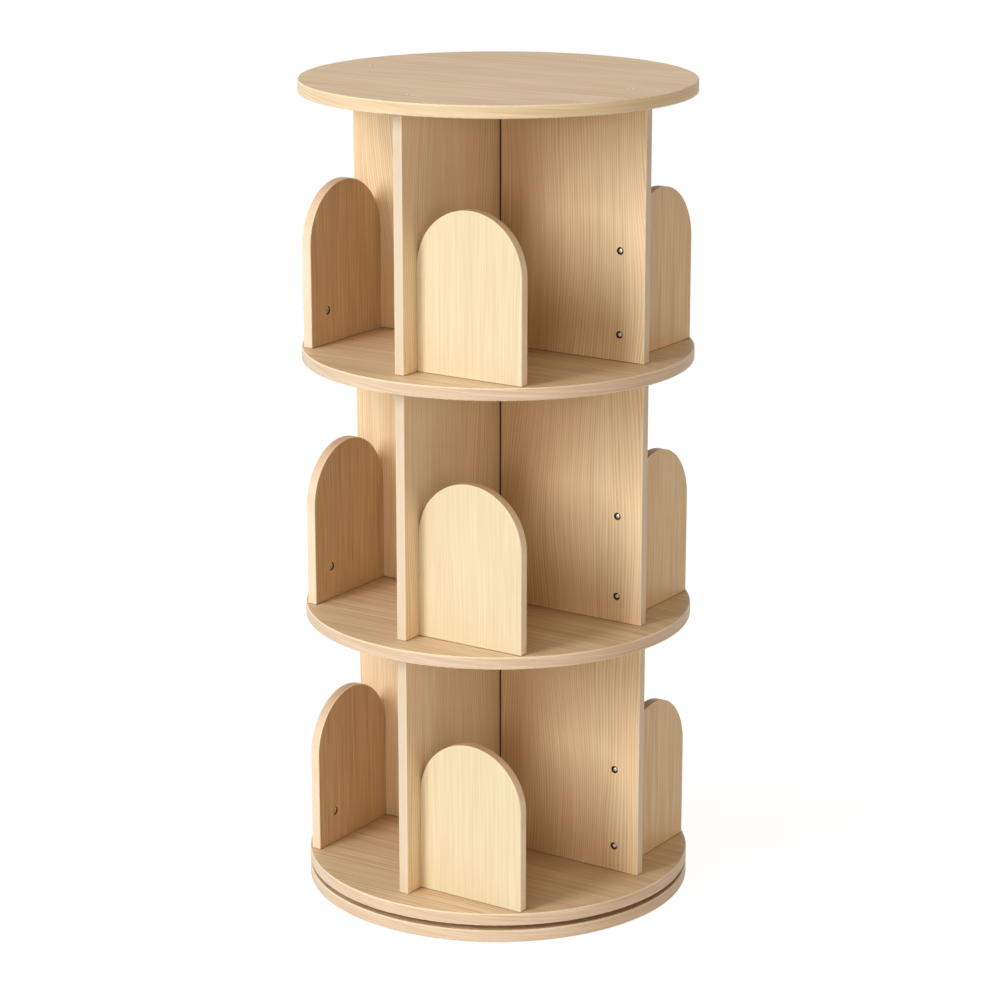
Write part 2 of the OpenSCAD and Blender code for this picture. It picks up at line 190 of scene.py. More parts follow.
class BookcaseVeneer(bpy.types.PropertyGroup):
    """Colours and grain sizes of the wood veneers."""

    top_pale: colour_property("Top pale", "Early wood on the top", "#dbbf97")
    top_dark: colour_property("Top dark", "Late wood on the top", "#bd9d74")
    shelf_pale: colour_property("Shelf pale", "Early wood on the shelves and the base", "#e0c6a3")
    shelf_dark: colour_property("Shelf dark", "Late wood on the shelves and the base", "#be9e77")
    rim_pale: colour_property("Rim pale", "Early wood on the top's rim", "#f0deba")
    rim_dark: colour_property("Rim dark", "Late wood on the top's rim", "#dfbc90")
    shelf_rim_pale: colour_property("Shelf rim pale", "Early wood on the rims of the shelves", "#e9d5bb")
    shelf_rim_dark: colour_property("Shelf rim dark", "Late wood on the rims of the shelves", "#d6b492")
    divider_pale: colour_property("Divider pale", "Early wood on the dividers", "#ffe9c2")
    divider_dark: colour_property("Divider dark", "Late wood on the dividers", "#ebc494")
    # Heartwood and painted shade: the dividers darken towards the axis, where the inner corners stand in
    # shade
    heartwood_and_shade: colour_property("Heartwood", "Tint of the dividers by the axis", "#dcd4c9")
    # Painted shade: the front and back arms are tinted darker and cooler than the left and right arms, for
    # how the light falls
    front_back_shade: colour_property("Front leaf", "Tint of the leaf on the front and back arms", "#f5f8fe")
    band_pale: colour_property("Band pale", "Early wood on the ends of the dividers", "#e7d7bd")
    band_dark: colour_property("Band dark", "Late wood on the ends of the dividers", "#dfc9ad")
    # Partly painted light: the front arches, which face the key light, take a paler leaf than the arches on
    # the other sides
    arch_pale: colour_property("Arch pale", "Early wood on the palest arches", "#eee0bb")
    arch_dark: colour_property("Arch dark", "Late wood on the palest arches", "#e4cfa7")
    oak_pale: colour_property("Oak arch pale", "Early wood on the warmer arches", "#f2d7ad")
    oak_dark: colour_property("Oak arch dark", "Late wood on the warmer arches", "#dfb889")
    arch_band_pale: colour_property("Arch band pale", "Early wood on the edges of the arches", "#fbe2c9")
    arch_band_dark: colour_property("Arch band dark", "Late wood on the edges of the arches", "#f3d6b7")
    # End grain and painted shade: the arch's edge darkens towards its curved top
    end_grain_and_shade: colour_property("End grain", "Tint of an arch's edge at its top", "#d4c6b4")
    # Painted shade: the inner faces of the arches, which face the compartments, take a darker veneer
    shaded_inner_pale: colour_property("Inner pale", "Early wood on the inner faces of the arches", "#dbbc94")
    shaded_inner_dark: colour_property("Inner dark", "Late wood on the inner faces of the arches", "#b89973")
    # Painted highlight: a paler colour laid on the rounded edges, where they catch the light
    edge_highlight: colour_property("Eased edge", "Wood sanded through to paler fibres at the edges", "#f6e0bf")
    # Painted shade: raw board colour darkened to the shade of cuts, holes, the lap and the foot
    core: colour_property("Core", "Raw board where it is cut or drilled", "#40291a")
    ring_width: size_property("Ring width", "Spacing of the growth rings across the grain, mm", 3.2)
    fibre_width: size_property("Fibre width", "Width of the fine fibre streaks, mm", 2.0)
    streak_width: size_property("Streak width", "Width of the soft streaks between the fibres, mm", 5.0)
    band_width: size_property("Band width", "Width of the broad patches of tone, mm", 45.0)


class BookcaseFittings(bpy.types.PropertyGroup):
    """Colours of the metal, plastic and rubber pieces."""

    zinc: colour_property("Zinc plate", "Screws of the arches and bolts", "#f6f4f0")
    passivated: colour_property("Passivated zinc", "Countersunk screws in the boards", "#efe3cb")
    # Painted shade in the driver recess of the countersunk screws
    recess: colour_property("Recess", "Driver recess of the countersunk screws", "#3a342b")
    die_cast: colour_property("Die-cast zinc", "Cam locks", "#c9c8cc")
    aluminium: colour_property("Aluminium", "Bearing rings", "#c9cbcd")
    ball_steel: colour_property("Bearing steel", "Bearing balls", "#d8d9dc")
    nylon: colour_property("Nylon", "Ball cage", "#dedcd2")
    foam: colour_property("Foam rubber", "Foot pads", "#3b3a38")
    beech: colour_property("Beech", "Dowels", "#d9b88c")


class BookcaseStudio(bpy.types.PropertyGroup):
    """Camera and light of the white studio."""

    azimuth: bpy.props.FloatProperty(
        name="Azimuth", description="Direction of the camera round the bookcase",
        subtype="ANGLE", default=math.radians(33.33))
    distance: bpy.props.FloatProperty(
        name="Distance", description="Camera to turning axis, level", unit="LENGTH", default=3.5184)
    height: bpy.props.FloatProperty(
        name="Height", description="Camera above the floor", unit="LENGTH", default=1.4469)
    pitch: bpy.props.FloatProperty(
        name="Pitch", description="Camera tilt below level", subtype="ANGLE", default=math.radians(15.516))
    lens: bpy.props.FloatProperty(
        name="Lens", description="Focal length on a 36 mm sensor", unit="CAMERA", default=110.52)
    sideways: bpy.props.FloatProperty(
        name="Sideways", description="Shift of the picture, as a share of its width", default=0.0018)
    ambient: bpy.props.FloatProperty(
        name="Ambient", description="Strength of the light from all round", default=0.02, min=0, max=5)
    level: bpy.props.FloatProperty(
        name="Level", description="Power of all soft boxes, as a multiple of their own", default=1.0, min=0)


def add(tree, kind, inputs=None, **settings):
    """Add a node, set its properties, fill its inputs with values or links, and return its outputs.

    A Mix of colours takes its factor at 0 and its colours at 6 and 7, and gives the result at 2.
    """
    node = tree.nodes.new(kind)
    for key, value in settings.items():
        setattr(node, key, value)
    for key, value in (inputs or {}).items():
        if isinstance(value, bpy.types.NodeSocket):
            tree.links.new(value, node.inputs[key])
        else:
            node.inputs[key].default_value = value
    return node.outputs


def new_material(name):
    """An empty node material."""
    material = bpy.data.materials.new(name)
    material.use_nodes = True
    material.node_tree.nodes.clear()
    return material


def close_material(tree, shader):
    """Link a shader to the material's output."""
    add(tree, "ShaderNodeOutputMaterial", {"Surface": shader})


def paint(node, material):
    """Give a CAD node one material in every slot."""
    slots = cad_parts[node].data.materials
    slots.clear()
    slots.append(material)


def opaque(colour, share=1.0):
    """A colour socket's value from a linear colour, darkened to a share of it."""
    return (*(c * share for c in colour), 1.0)


def in_millimetres(tree, turn=0.0):
    """Object coordinates in millimetres, turned about the axis so that a board lies along X."""
    place = add(tree, "ShaderNodeTexCoord")["Object"]
    turned = add(tree, "ShaderNodeMapping", {
        "Vector": place, "Rotation": (0, 0, math.radians(-turn)), "Scale": (1 / MM,) * 3})
    return turned["Vector"]


def wood_figure(tree, place, veneer, figure):
    """Figure of a straight-grained veneer, from 0, late wood, to 1, early wood, and its fibres alone.

    The place is in millimetres: X across the grain, Y along it, Z the sheet. Rings, fibres, streaks and bands
    make up the tone. All follow the grain, which wanders to the sides, so they lean a little, crowd and part.
    Real fibres are too fine to show, so they are drawn coarser.
    """
    wander, shares = figure
    drift = add(tree, "ShaderNodeTexNoise", {
        "Vector": add(tree, "ShaderNodeMapping", {
            "Vector": place, "Scale": (1 / WANDER_WIDTH, 1 / WANDER_LENGTH, 1)})["Vector"],
        "Scale": 1.0, "Detail": 1.0})["Fac"]
    part = add(tree, "ShaderNodeSeparateXYZ", {"Vector": place})
    across = add(tree, "ShaderNodeMath", {0: drift, 1: wander, 2: part["X"]}, operation="MULTIPLY_ADD")[0]
    leaf = add(tree, "ShaderNodeCombineXYZ", {"X": across, "Y": part["Y"], "Z": part["Z"]})["Vector"]
    layers = [add(tree, "ShaderNodeTexWave", {
        "Vector": add(tree, "ShaderNodeMapping", {"Vector": leaf, "Scale": (1, RING_PACE, 1)})["Vector"],
        "Scale": WAVE_PERIOD / veneer.ring_width,
        "Distortion": 6.0, "Detail": 2.0, "Detail Scale": 0.6}, wave_profile="SAW")["Fac"]]
    for width, length in (
            (veneer.fibre_width, FIBRE_LENGTH), (veneer.streak_width, STREAK_LENGTH),
            (veneer.band_width, BAND_LENGTH)):
        layers.append(add(tree, "ShaderNodeTexNoise", {
            "Vector": add(tree, "ShaderNodeMapping", {
                "Vector": leaf, "Scale": (1 / width, 1 / length, 1)})["Vector"],
            "Scale": 1.0, "Detail": 2.0, "Roughness": 0.6})["Fac"])
    tone = 0.0
    for share, layer in zip(shares, layers):
        tone = add(tree, "ShaderNodeMath", {0: layer, 1: share, 2: tone}, operation="MULTIPLY_ADD")[0]
    tone = add(tree, "ShaderNodeMapRange", {
        "Value": tone, "From Min": LATE_WOOD, "From Max": EARLY_WOOD})["Result"]
    return tone, layers[1]


def lacquered(tree, colour, fibres):
    """Satin lacquer over open pores: a soft sheen that the fibres break up."""
    dull = add(tree, "ShaderNodeMapRange", {
        "Value": fibres, "From Min": NOISE_LOW, "From Max": NOISE_HIGH,
        "To Min": LACQUER_ROUGHNESS + ROUGHNESS_RANGE,
        "To Max": LACQUER_ROUGHNESS - ROUGHNESS_RANGE})["Result"]
    bump = add(tree, "ShaderNodeBump", {
        "Height": fibres, "Strength": 0.12, "Distance": PORE_DEPTH * MM})["Normal"]
    return add(tree, "ShaderNodeBsdfPrincipled", {
        "Base Color": colour, "Roughness": dull, "IOR": 1.5, "Normal": bump})["BSDF"]


def disc_veneer(veneer, name, face_leaf, rim_leaf, figure, spread=1.0):
    """Oak veneer on board with a band round the rim: grain along X, a streaky pale rim, and a painted
    highlight on the rounded edges.

    A leaf is its pale and its dark colour. The figure on the face is coarser by the factor spread.
    """
    material = new_material(f"{name}_oak_veneer")
    tree = material.node_tree
    place = in_millimetres(tree)
    part = add(tree, "ShaderNodeSeparateXYZ", {"Vector": place})
    sheet = add(tree, "ShaderNodeMath", {0: part["Z"], 1: 1 / DISC_SHEET}, operation="MULTIPLY")[0]
    across = add(tree, "ShaderNodeMath", {0: part["Y"], 1: 1 / spread}, operation="MULTIPLY")[0]
    along = add(tree, "ShaderNodeMath", {0: part["X"], 1: 1 / spread}, operation="MULTIPLY")[0]
    face_place = add(tree, "ShaderNodeCombineXYZ", {"X": across, "Y": along, "Z": sheet})["Vector"]
    tone, fibres = wood_figure(tree, face_place, veneer, figure)
    pale, dark = face_leaf
    face = add(tree, "ShaderNodeMix", {0: tone, 6: opaque(dark), 7: opaque(pale)}, data_type="RGBA")[2]
    rim_place = add(tree, "ShaderNodeMapping", {
        "Vector": place, "Rotation": (0, RIM_LEAN, 0), "Scale": RIM_STREAK}, vector_type="TEXTURE")["Vector"]
    streaks = add(tree, "ShaderNodeTexNoise", {
        "Vector": rim_place, "Scale": 1.0, "Detail": 2.0, "Distortion": 0.3})["Fac"]
    rim_tone = add(tree, "ShaderNodeMapRange", {
        "Value": streaks, "From Min": RIM_LATE, "From Max": RIM_EARLY})["Result"]
    pale, dark = rim_leaf
    rim = add(tree, "ShaderNodeMix", {0: rim_tone, 6: opaque(dark), 7: opaque(pale)}, data_type="RGBA")[2]
    level = add(tree, "ShaderNodeCombineXYZ", {"X": part["X"], "Y": part["Y"]})["Vector"]
    radius = add(tree, "ShaderNodeVectorMath", {0: level}, operation="LENGTH")["Value"]
    on_rim = add(tree, "ShaderNodeMapRange", {
        "Value": radius, "From Min": DISC_RADIUS - RIM_BAND[0],
        "From Max": DISC_RADIUS - RIM_BAND[1]})["Result"]
    colour = add(tree, "ShaderNodeMix", {0: on_rim, 6: face, 7: rim}, data_type="RGBA")[2]
    lean = add(tree, "ShaderNodeSeparateXYZ", {"Vector": add(tree, "ShaderNodeTexCoord")["Normal"]})["Z"]
    upright = add(tree, "ShaderNodeMath", {0: lean}, operation="ABSOLUTE")[0]
    # Painted highlight: the rounded edge between face and rim turns paler, as where it catches the light
    highlighted = on_rim
    for begins, full in (EDGE_FROM_FACE, EDGE_FROM_RIM):
        eased = add(tree, "ShaderNodeMapRange", {
            "Value": upright, "From Min": begins, "From Max": full})["Result"]
        highlighted = add(tree, "ShaderNodeMath", {0: highlighted, 1: eased}, operation="MULTIPLY")[0]
    colour = add(tree, "ShaderNodeMix", {
        0: highlighted, 6: colour, 7: opaque(veneer.edge_highlight)}, data_type="RGBA")[2]
    close_material(tree, lacquered(tree, colour, fibres))
    return material


def tier_place(tree, part):
    """Height above the floor of the piece's own tier, and the tier's number."""
    raised = add(tree, "ShaderNodeMath", {0: part["Z"], 1: TIER_FLOOR}, operation="SUBTRACT")[0]
    tiers = add(tree, "ShaderNodeMath", {0: raised, 1: 1 / TIER_PITCH}, operation="MULTIPLY")[0]
    tier = add(tree, "ShaderNodeMath", {0: tiers}, operation="FLOOR")[0]
    height = add(tree, "ShaderNodeMath", {0: raised, 1: TIER_PITCH}, operation="MODULO")[0]
    return height, tier


def board_colour(tree, veneer, face, edge, height, depth, half_thickness, reach, half_length):
    """Face veneer, edge band, a painted highlight on the corners between them, raw board darkened as painted
    shade in cuts, and a painted contact shadow at the foot.
    """
    near_face, near_edge, on_face, on_edge = (
        add(tree, "ShaderNodeMapRange", {
            "Value": value, "From Min": half - begins, "From Max": half - ends})["Result"]
        for value, half, (begins, ends) in (
            (depth, half_thickness, EASED_CORNER), (reach, half_length, EASED_CORNER),
            (depth, half_thickness, FACE_VENEER), (reach, half_length, EDGE_BAND)))
    corner = add(tree, "ShaderNodeMath", {0: near_face, 1: near_edge}, operation="MULTIPLY")[0]
    veneered = add(tree, "ShaderNodeMath", {0: on_face, 1: near_edge}, operation="MAXIMUM")[0]
    # Cuts and holes show raw board, darkened as painted shade
    colour = add(tree, "ShaderNodeMix", {0: veneered, 6: opaque(veneer.core), 7: face}, data_type="RGBA")[2]
    colour = add(tree, "ShaderNodeMix", {0: on_edge, 6: colour, 7: edge}, data_type="RGBA")[2]
    # Painted highlight on the rounded corners of the board
    colour = add(tree, "ShaderNodeMix", {
        0: corner, 6: colour, 7: opaque(veneer.edge_highlight)}, data_type="RGBA")[2]
    # Painted contact shadow along the foot of the board, where it stands on the shelf
    foot = add(tree, "ShaderNodeMapRange", {
        "Value": height, "From Min": FOOT_SHADOW_HEIGHTS[0], "From Max": FOOT_SHADOW_HEIGHTS[1],
        "To Max": FOOT_SHADOW_STRENGTH})["Result"]
    return add(tree, "ShaderNodeMix", {0: foot, 6: colour, 7: opaque(veneer.core)}, data_type="RGBA")[2]


def divider_veneer(veneer, name, turn, leaf):
    """Oak veneer with upright grain: heartwood and painted shade darkening it by the axis, painted shade in
    the lap, pale bands on the ends.
    """
    material = new_material(f"divider_oak_veneer_{name}")
    tree = material.node_tree
    place = in_millimetres(tree, turn)
    part = add(tree, "ShaderNodeSeparateXYZ", {"Vector": place})
    height, tier = tier_place(tree, part)
    reach = add(tree, "ShaderNodeMath", {0: part["X"]}, operation="ABSOLUTE")[0]
    depth = add(tree, "ShaderNodeMath", {0: part["Y"]}, operation="ABSOLUTE")[0]
    arm = add(tree, "ShaderNodeMath", {0: part["X"]}, operation="SIGN")[0]
    first, step = DIVIDER_SHEETS
    sheet = add(tree, "ShaderNodeMath", {0: tier, 1: step, 2: first + turn}, operation="MULTIPLY_ADD")[0]
    sheet = add(tree, "ShaderNodeMath", {0: sheet, 1: arm}, operation="ADD")[0]
    grain_place = add(tree, "ShaderNodeCombineXYZ", {"X": reach, "Y": height, "Z": sheet})["Vector"]
    tone, fibres = wood_figure(tree, grain_place, veneer, DIVIDER_FIGURE)
    face = add(tree, "ShaderNodeMix", {
        0: tone, 6: opaque(veneer.divider_dark), 7: opaque(veneer.divider_pale)}, data_type="RGBA")[2]
    # Heartwood and painted shade: the veneer darkens towards the axis, where the inner corners stand in shade
    outward_share = add(tree, "ShaderNodeMath", {0: reach, 1: 1 / DIVIDER_HALF_LENGTH}, operation="MULTIPLY")[0]
    tint = add(tree, "ShaderNodeMix", {
        0: outward_share, 6: opaque(veneer.heartwood_and_shade), 7: opaque(WHITE)}, data_type="RGBA")[2]
    # The second tint is painted shade on the front and back arms
    for shade in (tint, opaque(leaf)):
        face = add(tree, "ShaderNodeMix", {
            0: 1.0, 6: face, 7: shade}, data_type="RGBA", blend_type="MULTIPLY")[2]
    # Painted shade: the lap by the axis is painted the dark core colour
    lap_shade = add(tree, "ShaderNodeMath", {0: reach, 1: DIVIDER_HALF_THICKNESS}, operation="LESS_THAN")[0]
    face = add(tree, "ShaderNodeMix", {0: lap_shade, 6: face, 7: opaque(veneer.core)}, data_type="RGBA")[2]
    band_tone = add(tree, "ShaderNodeTexNoise", {
        "Vector": add(tree, "ShaderNodeMapping", {
            "Vector": place, "Scale": END_STREAK}, vector_type="TEXTURE")["Vector"],
        "Scale": 1.0, "Detail": 2.0})["Fac"]
    band = add(tree, "ShaderNodeMix", {
        0: band_tone, 6: opaque(veneer.band_dark), 7: opaque(veneer.band_pale)}, data_type="RGBA")[2]
    colour = board_colour(
        tree, veneer, face, band, height, depth, DIVIDER_HALF_THICKNESS, reach, DIVIDER_HALF_LENGTH)
    close_material(tree, lacquered(tree, colour, fibres))
    return material


def arch_veneer(veneer, name, turn, pale, dark):
    """Veneer with fine upright grain: its leaf on the outer face, a pale edge that darkens towards the top as
    end grain and painted shade, and a darker inner face that is painted shade.
    """
    material = new_material(f"arch_veneer_{name}")
    tree = material.node_tree
    place = in_millimetres(tree, turn)
    part = add(tree, "ShaderNodeSeparateXYZ", {"Vector": place})
    height, tier = tier_place(tree, part)
    first, step = ARCH_SHEETS
    sheet = add(tree, "ShaderNodeMath", {0: tier, 1: step, 2: first + turn}, operation="MULTIPLY_ADD")[0]
    across = add(tree, "ShaderNodeMath", {0: part["Y"], 1: ARCH_CENTRE}, operation="SUBTRACT")[0]
    grain_place = add(tree, "ShaderNodeCombineXYZ", {"X": across, "Y": height, "Z": sheet})["Vector"]
    tone, fibres = wood_figure(tree, grain_place, veneer, ARCH_FIGURE)
    outer = add(tree, "ShaderNodeMix", {
        0: tone, 6: opaque(dark), 7: opaque(pale)}, data_type="RGBA")[2]
    # Painted shade: the inner face takes a darker leaf
    inner = add(tree, "ShaderNodeMix", {
        0: tone, 6: opaque(veneer.shaded_inner_dark), 7: opaque(veneer.shaded_inner_pale)}, data_type="RGBA")[2]
    outward = add(tree, "ShaderNodeMath", {0: part["X"], 1: ARCH_MID}, operation="SUBTRACT")[0]
    inside = add(tree, "ShaderNodeMath", {0: outward, 1: 0.0}, operation="LESS_THAN")[0]
    face = add(tree, "ShaderNodeMix", {0: inside, 6: outer, 7: inner}, data_type="RGBA")[2]
    edge = add(tree, "ShaderNodeMix", {
        0: tone, 6: opaque(veneer.arch_band_dark), 7: opaque(veneer.arch_band_pale)}, data_type="RGBA")[2]
    rise = add(tree, "ShaderNodeMath", {0: height, 1: ARCH_SPRING}, operation="SUBTRACT")[0]
    rise = add(tree, "ShaderNodeMath", {0: rise, 1: 0.0}, operation="MAXIMUM")[0]
    from_spring = add(tree, "ShaderNodeCombineXYZ", {"X": across, "Y": rise})["Vector"]
    reach = add(tree, "ShaderNodeVectorMath", {0: from_spring}, operation="LENGTH")["Value"]
    # End grain and painted shade: the edge darkens towards the arch's top
    topmost = add(tree, "ShaderNodeMath", {0: rise, 1: 1 / ARCH_HALF_WIDTH}, operation="MULTIPLY")[0]
    edge = add(tree, "ShaderNodeMix", {
        0: topmost, 6: edge, 7: opaque(veneer.end_grain_and_shade)}, data_type="RGBA", blend_type="MULTIPLY")[2]
    depth = add(tree, "ShaderNodeMath", {0: outward}, operation="ABSOLUTE")[0]
    colour = board_colour(
        tree, veneer, face, edge, height, depth, ARCH_HALF_THICKNESS, reach, ARCH_HALF_WIDTH)
    close_material(tree, lacquered(tree, colour, fibres))
    return material


def shade_recess(tree, shade, recess):
    """Paint shade on the metal in and round the driver recess of the screws that stand on the arms of the
    cross.
    """
    part = add(tree, "ShaderNodeSeparateXYZ", {"Vector": in_millimetres(tree)})
    x, y = (add(tree, "ShaderNodeMath", {0: part[axis]}, operation="ABSOLUTE")[0] for axis in "XY")
    along = add(tree, "ShaderNodeMath", {0: x, 1: y}, operation="MAXIMUM")[0]
    aside = add(tree, "ShaderNodeMath", {0: x, 1: y}, operation="MINIMUM")[0]
    ahead = add(tree, "ShaderNodeMath", {0: along, 1: SCREW_REACH}, operation="SUBTRACT")[0]
    from_screw = add(tree, "ShaderNodeCombineXYZ", {"X": ahead, "Y": aside})["Vector"]
    radius = add(tree, "ShaderNodeVectorMath", {0: from_screw}, operation="LENGTH")["Value"]
    inside = add(tree, "ShaderNodeMapRange", {
        "Value": radius, "From Min": SCREW_HEAD_RADIUS * RECESS_EDGE[0],
        "From Max": SCREW_HEAD_RADIUS * RECESS_EDGE[1]})["Result"]
    return add(tree, "ShaderNodeMix", {0: inside, 6: shade, 7: opaque(recess)}, data_type="RGBA")[2]


def worn_metal(name, colour, roughness, grit_mm, metallic=1.0, recess=None):
    """Metal whose roughness and shade vary with a grit, with painted shade in the driver recess if that has a
    colour.

    The grit of the real metal is too fine to show, so it is drawn coarser.
    """
    material = new_material(name)
    tree = material.node_tree
    grit = add(tree, "ShaderNodeTexNoise", {
        "Vector": in_millimetres(tree), "Scale": 1 / grit_mm, "Detail": 3.0})["Fac"]
    shade = add(tree, "ShaderNodeMix", {
        0: grit, 6: opaque(colour, METAL_DARK), 7: opaque(colour)}, data_type="RGBA")[2]
    if recess is not None:
        shade = shade_recess(tree, shade, recess)
    rough = add(tree, "ShaderNodeMapRange", {
        "Value": grit, "From Min": NOISE_LOW, "From Max": NOISE_HIGH,
        "To Min": roughness - ROUGHNESS_RANGE, "To Max": roughness + ROUGHNESS_RANGE})["Result"]
    bump = add(tree, "ShaderNodeBump", {
        "Height": grit, "Strength": 0.1, "Distance": GRIT_DEPTH * MM})["Normal"]
    close_material(tree, add(tree, "ShaderNodeBsdfPrincipled", {
        "Base Color": shade, "Metallic": metallic, "Roughness": rough, "Normal": bump})["BSDF"])
    return material


def moulded(name, colour, roughness, grit_mm):
    """Moulded plastic or foam: a matt skin with a grain, drawn as coarse as it needs to show."""
    material = new_material(name)
    tree = material.node_tree
    grit = add(tree, "ShaderNodeTexNoise", {
        "Vector": in_millimetres(tree), "Scale": 1 / grit_mm, "Detail": 4.0})["Fac"]
    shade = add(tree, "ShaderNodeMix", {
        0: grit, 6: opaque(colour, MOULDED_DARK), 7: opaque(colour)}, data_type="RGBA")[2]
    bump = add(tree, "ShaderNodeBump", {
        "Height": grit, "Strength": 0.25, "Distance": SKIN_DEPTH * MM})["Normal"]
    close_material(tree, add(tree, "ShaderNodeBsdfPrincipled", {
        "Base Color": shade, "Roughness": roughness, "IOR": 1.5, "Normal": bump})["BSDF"])
    return material


def dowel_beech(colour):
    """Turned beech: short dark flecks along the pin."""
    material = new_material("dowel_beech")
    tree = material.node_tree
    flecks = add(tree, "ShaderNodeTexNoise", {
        "Vector": add(tree, "ShaderNodeMapping", {
            "Vector": in_millimetres(tree), "Scale": FLECK_SIZE}, vector_type="TEXTURE")["Vector"],
        "Scale": 1.0, "Detail": 2.0})["Fac"]
    shade = add(tree, "ShaderNodeMix", {
        0: flecks, 6: opaque(colour, FLECK_DARK), 7: opaque(colour)}, data_type="RGBA")[2]
    close_material(tree, add(tree, "ShaderNodeBsdfPrincipled", {
        "Base Color": shade, "Roughness": 0.6, "IOR": 1.5})["BSDF"])
    return material


class BOOKCASE_OT_discs(bpy.types.Operator):
    """Veneer the base, the shelves and the top"""

    bl_idname = "bookcase.discs"
    bl_label = "Veneer the discs"

    def execute(self, context):
        veneer = context.scene.bookcase_veneer
        top = disc_veneer(
            veneer, "top", (veneer.top_pale, veneer.top_dark), (veneer.rim_pale, veneer.rim_dark), TOP_FIGURE)
        shelf = disc_veneer(
            veneer, "shelf", (veneer.shelf_pale, veneer.shelf_dark),
            (veneer.shelf_rim_pale, veneer.shelf_rim_dark), SHELF_FIGURE, SHELF_SPREAD)
        paint("top_board", top)
        for node in SHELVES:
            paint(node, shelf)
        return {"FINISHED"}


class BOOKCASE_OT_dividers(bpy.types.Operator):
    """Veneer the crossed dividers of every tier"""

    bl_idname = "bookcase.dividers"
    bl_label = "Veneer the dividers"

    def execute(self, context):
        veneer = context.scene.bookcase_veneer
        # The front and back dividers take a painted shade tint, the left and right ones none
        for name, turn, leaf in (("left_right", 0.0, WHITE), ("front_back", 90.0, veneer.front_back_shade)):
            material = divider_veneer(veneer, name, turn, leaf)
            for tier in TIERS:
                paint(f"{tier}_divider_{name}", material)
        return {"FINISHED"}


class BOOKCASE_OT_arches(bpy.types.Operator):
    """Veneer the arched book stops of every tier"""

    bl_idname = "bookcase.arches"
    bl_label = "Veneer the arches"

    def execute(self, context):
        veneer = context.scene.bookcase_veneer
        # Partly painted light: the front arches take the paler leaf, the other sides the darker oak
        pale_leaf = (veneer.arch_pale, veneer.arch_dark)
        oak_leaf = (veneer.oak_pale, veneer.oak_dark)
        for side, turn in SIDES.items():
            material = arch_veneer(veneer, side, turn, *(pale_leaf if side == "front" else oak_leaf))
            for tier in TIERS:
                paint(f"{tier}_arch_{side}", material)
        return {"FINISHED"}


class BOOKCASE_OT_fittings(bpy.types.Operator):
    """Finish the screws, cam locks, bolts and dowels"""

    bl_idname = "bookcase.fittings"
    bl_label = "Finish the fittings"

    def execute(self, context):
        look = context.scene.bookcase_fittings
        zinc = worn_metal("zinc_plated_steel", look.zinc, roughness=0.36, grit_mm=0.6, metallic=0.6)
        die_cast = worn_metal("die_cast_zinc", look.die_cast, roughness=0.18, grit_mm=0.8)
        passivated = worn_metal(
            "passivated_zinc", look.passivated, roughness=0.4, grit_mm=0.6, metallic=0.8, recess=look.recess)
        beech = dowel_beech(look.beech)
        paint("bottom_shelf_screws", passivated)
        for tier in TIERS:
            paint(f"{tier}_divider_screws", passivated)
            for piece in ("arch_screws", "cam_bolts"):
                paint(f"{tier}_{piece}", zinc)
            paint(f"{tier}_cam_locks", die_cast)
            paint(f"{tier}_dowels", beech)
        return {"FINISHED"}


class BOOKCASE_OT_turntable(bpy.types.Operator):
    """Finish the ring bearing and the foot pads"""

    bl_idname = "bookcase.turntable"
    bl_label = "Finish the turntable"

    def execute(self, context):
        look = context.scene.bookcase_fittings
        aluminium = worn_metal("rolled_aluminium", look.aluminium, roughness=0.38, grit_mm=1.5)
        zinc = worn_metal("zinc_plated_screws", look.zinc, roughness=0.3, grit_mm=0.6)
        steel = worn_metal("polished_bearing_steel", look.ball_steel, roughness=0.12, grit_mm=2.0)
        for ring in ("outer", "inner"):
            paint(f"bearing_{ring}_ring", aluminium)
            paint(f"{ring}_ring_screws", zinc)
        paint("bearing_balls", steel)
        paint("ball_cage", moulded("nylon", look.nylon, roughness=0.5, grit_mm=1.0))
        paint("foot_pads", moulded("foam_rubber", look.foam, roughness=0.85, grit_mm=1.2))
        return {"FINISHED"}


def studio_seen(tree):
    """1 where the studio itself shows, to the camera, in a reflection or through glass, and else 0."""
    rays = add(tree, "ShaderNodeLightPath")
    seen = rays["Is Camera Ray"]
    for ray in ("Is Glossy Ray", "Is Transmission Ray"):
        seen = add(tree, "ShaderNodeMath", {0: seen, 1: rays[ray]}, operation="MAXIMUM")[0]
    return seen


def white_world(studio):
    """White to the camera and to reflections, and almost no light of its own on the bookcase."""
    world = bpy.data.worlds.new("white_studio")
    world.use_nodes = True
    tree = world.node_tree
    tree.nodes.clear()
    surround, white = (
        add(tree, "ShaderNodeBackground", {"Color": opaque(WHITE), "Strength": strength})["Background"]
        for strength in (studio.ambient, 1.0))
    mixed = add(tree, "ShaderNodeMixShader", {0: studio_seen(tree), 1: surround, 2: white})["Shader"]
    add(tree, "ShaderNodeOutputWorld", {"Surface": mixed})
    return world


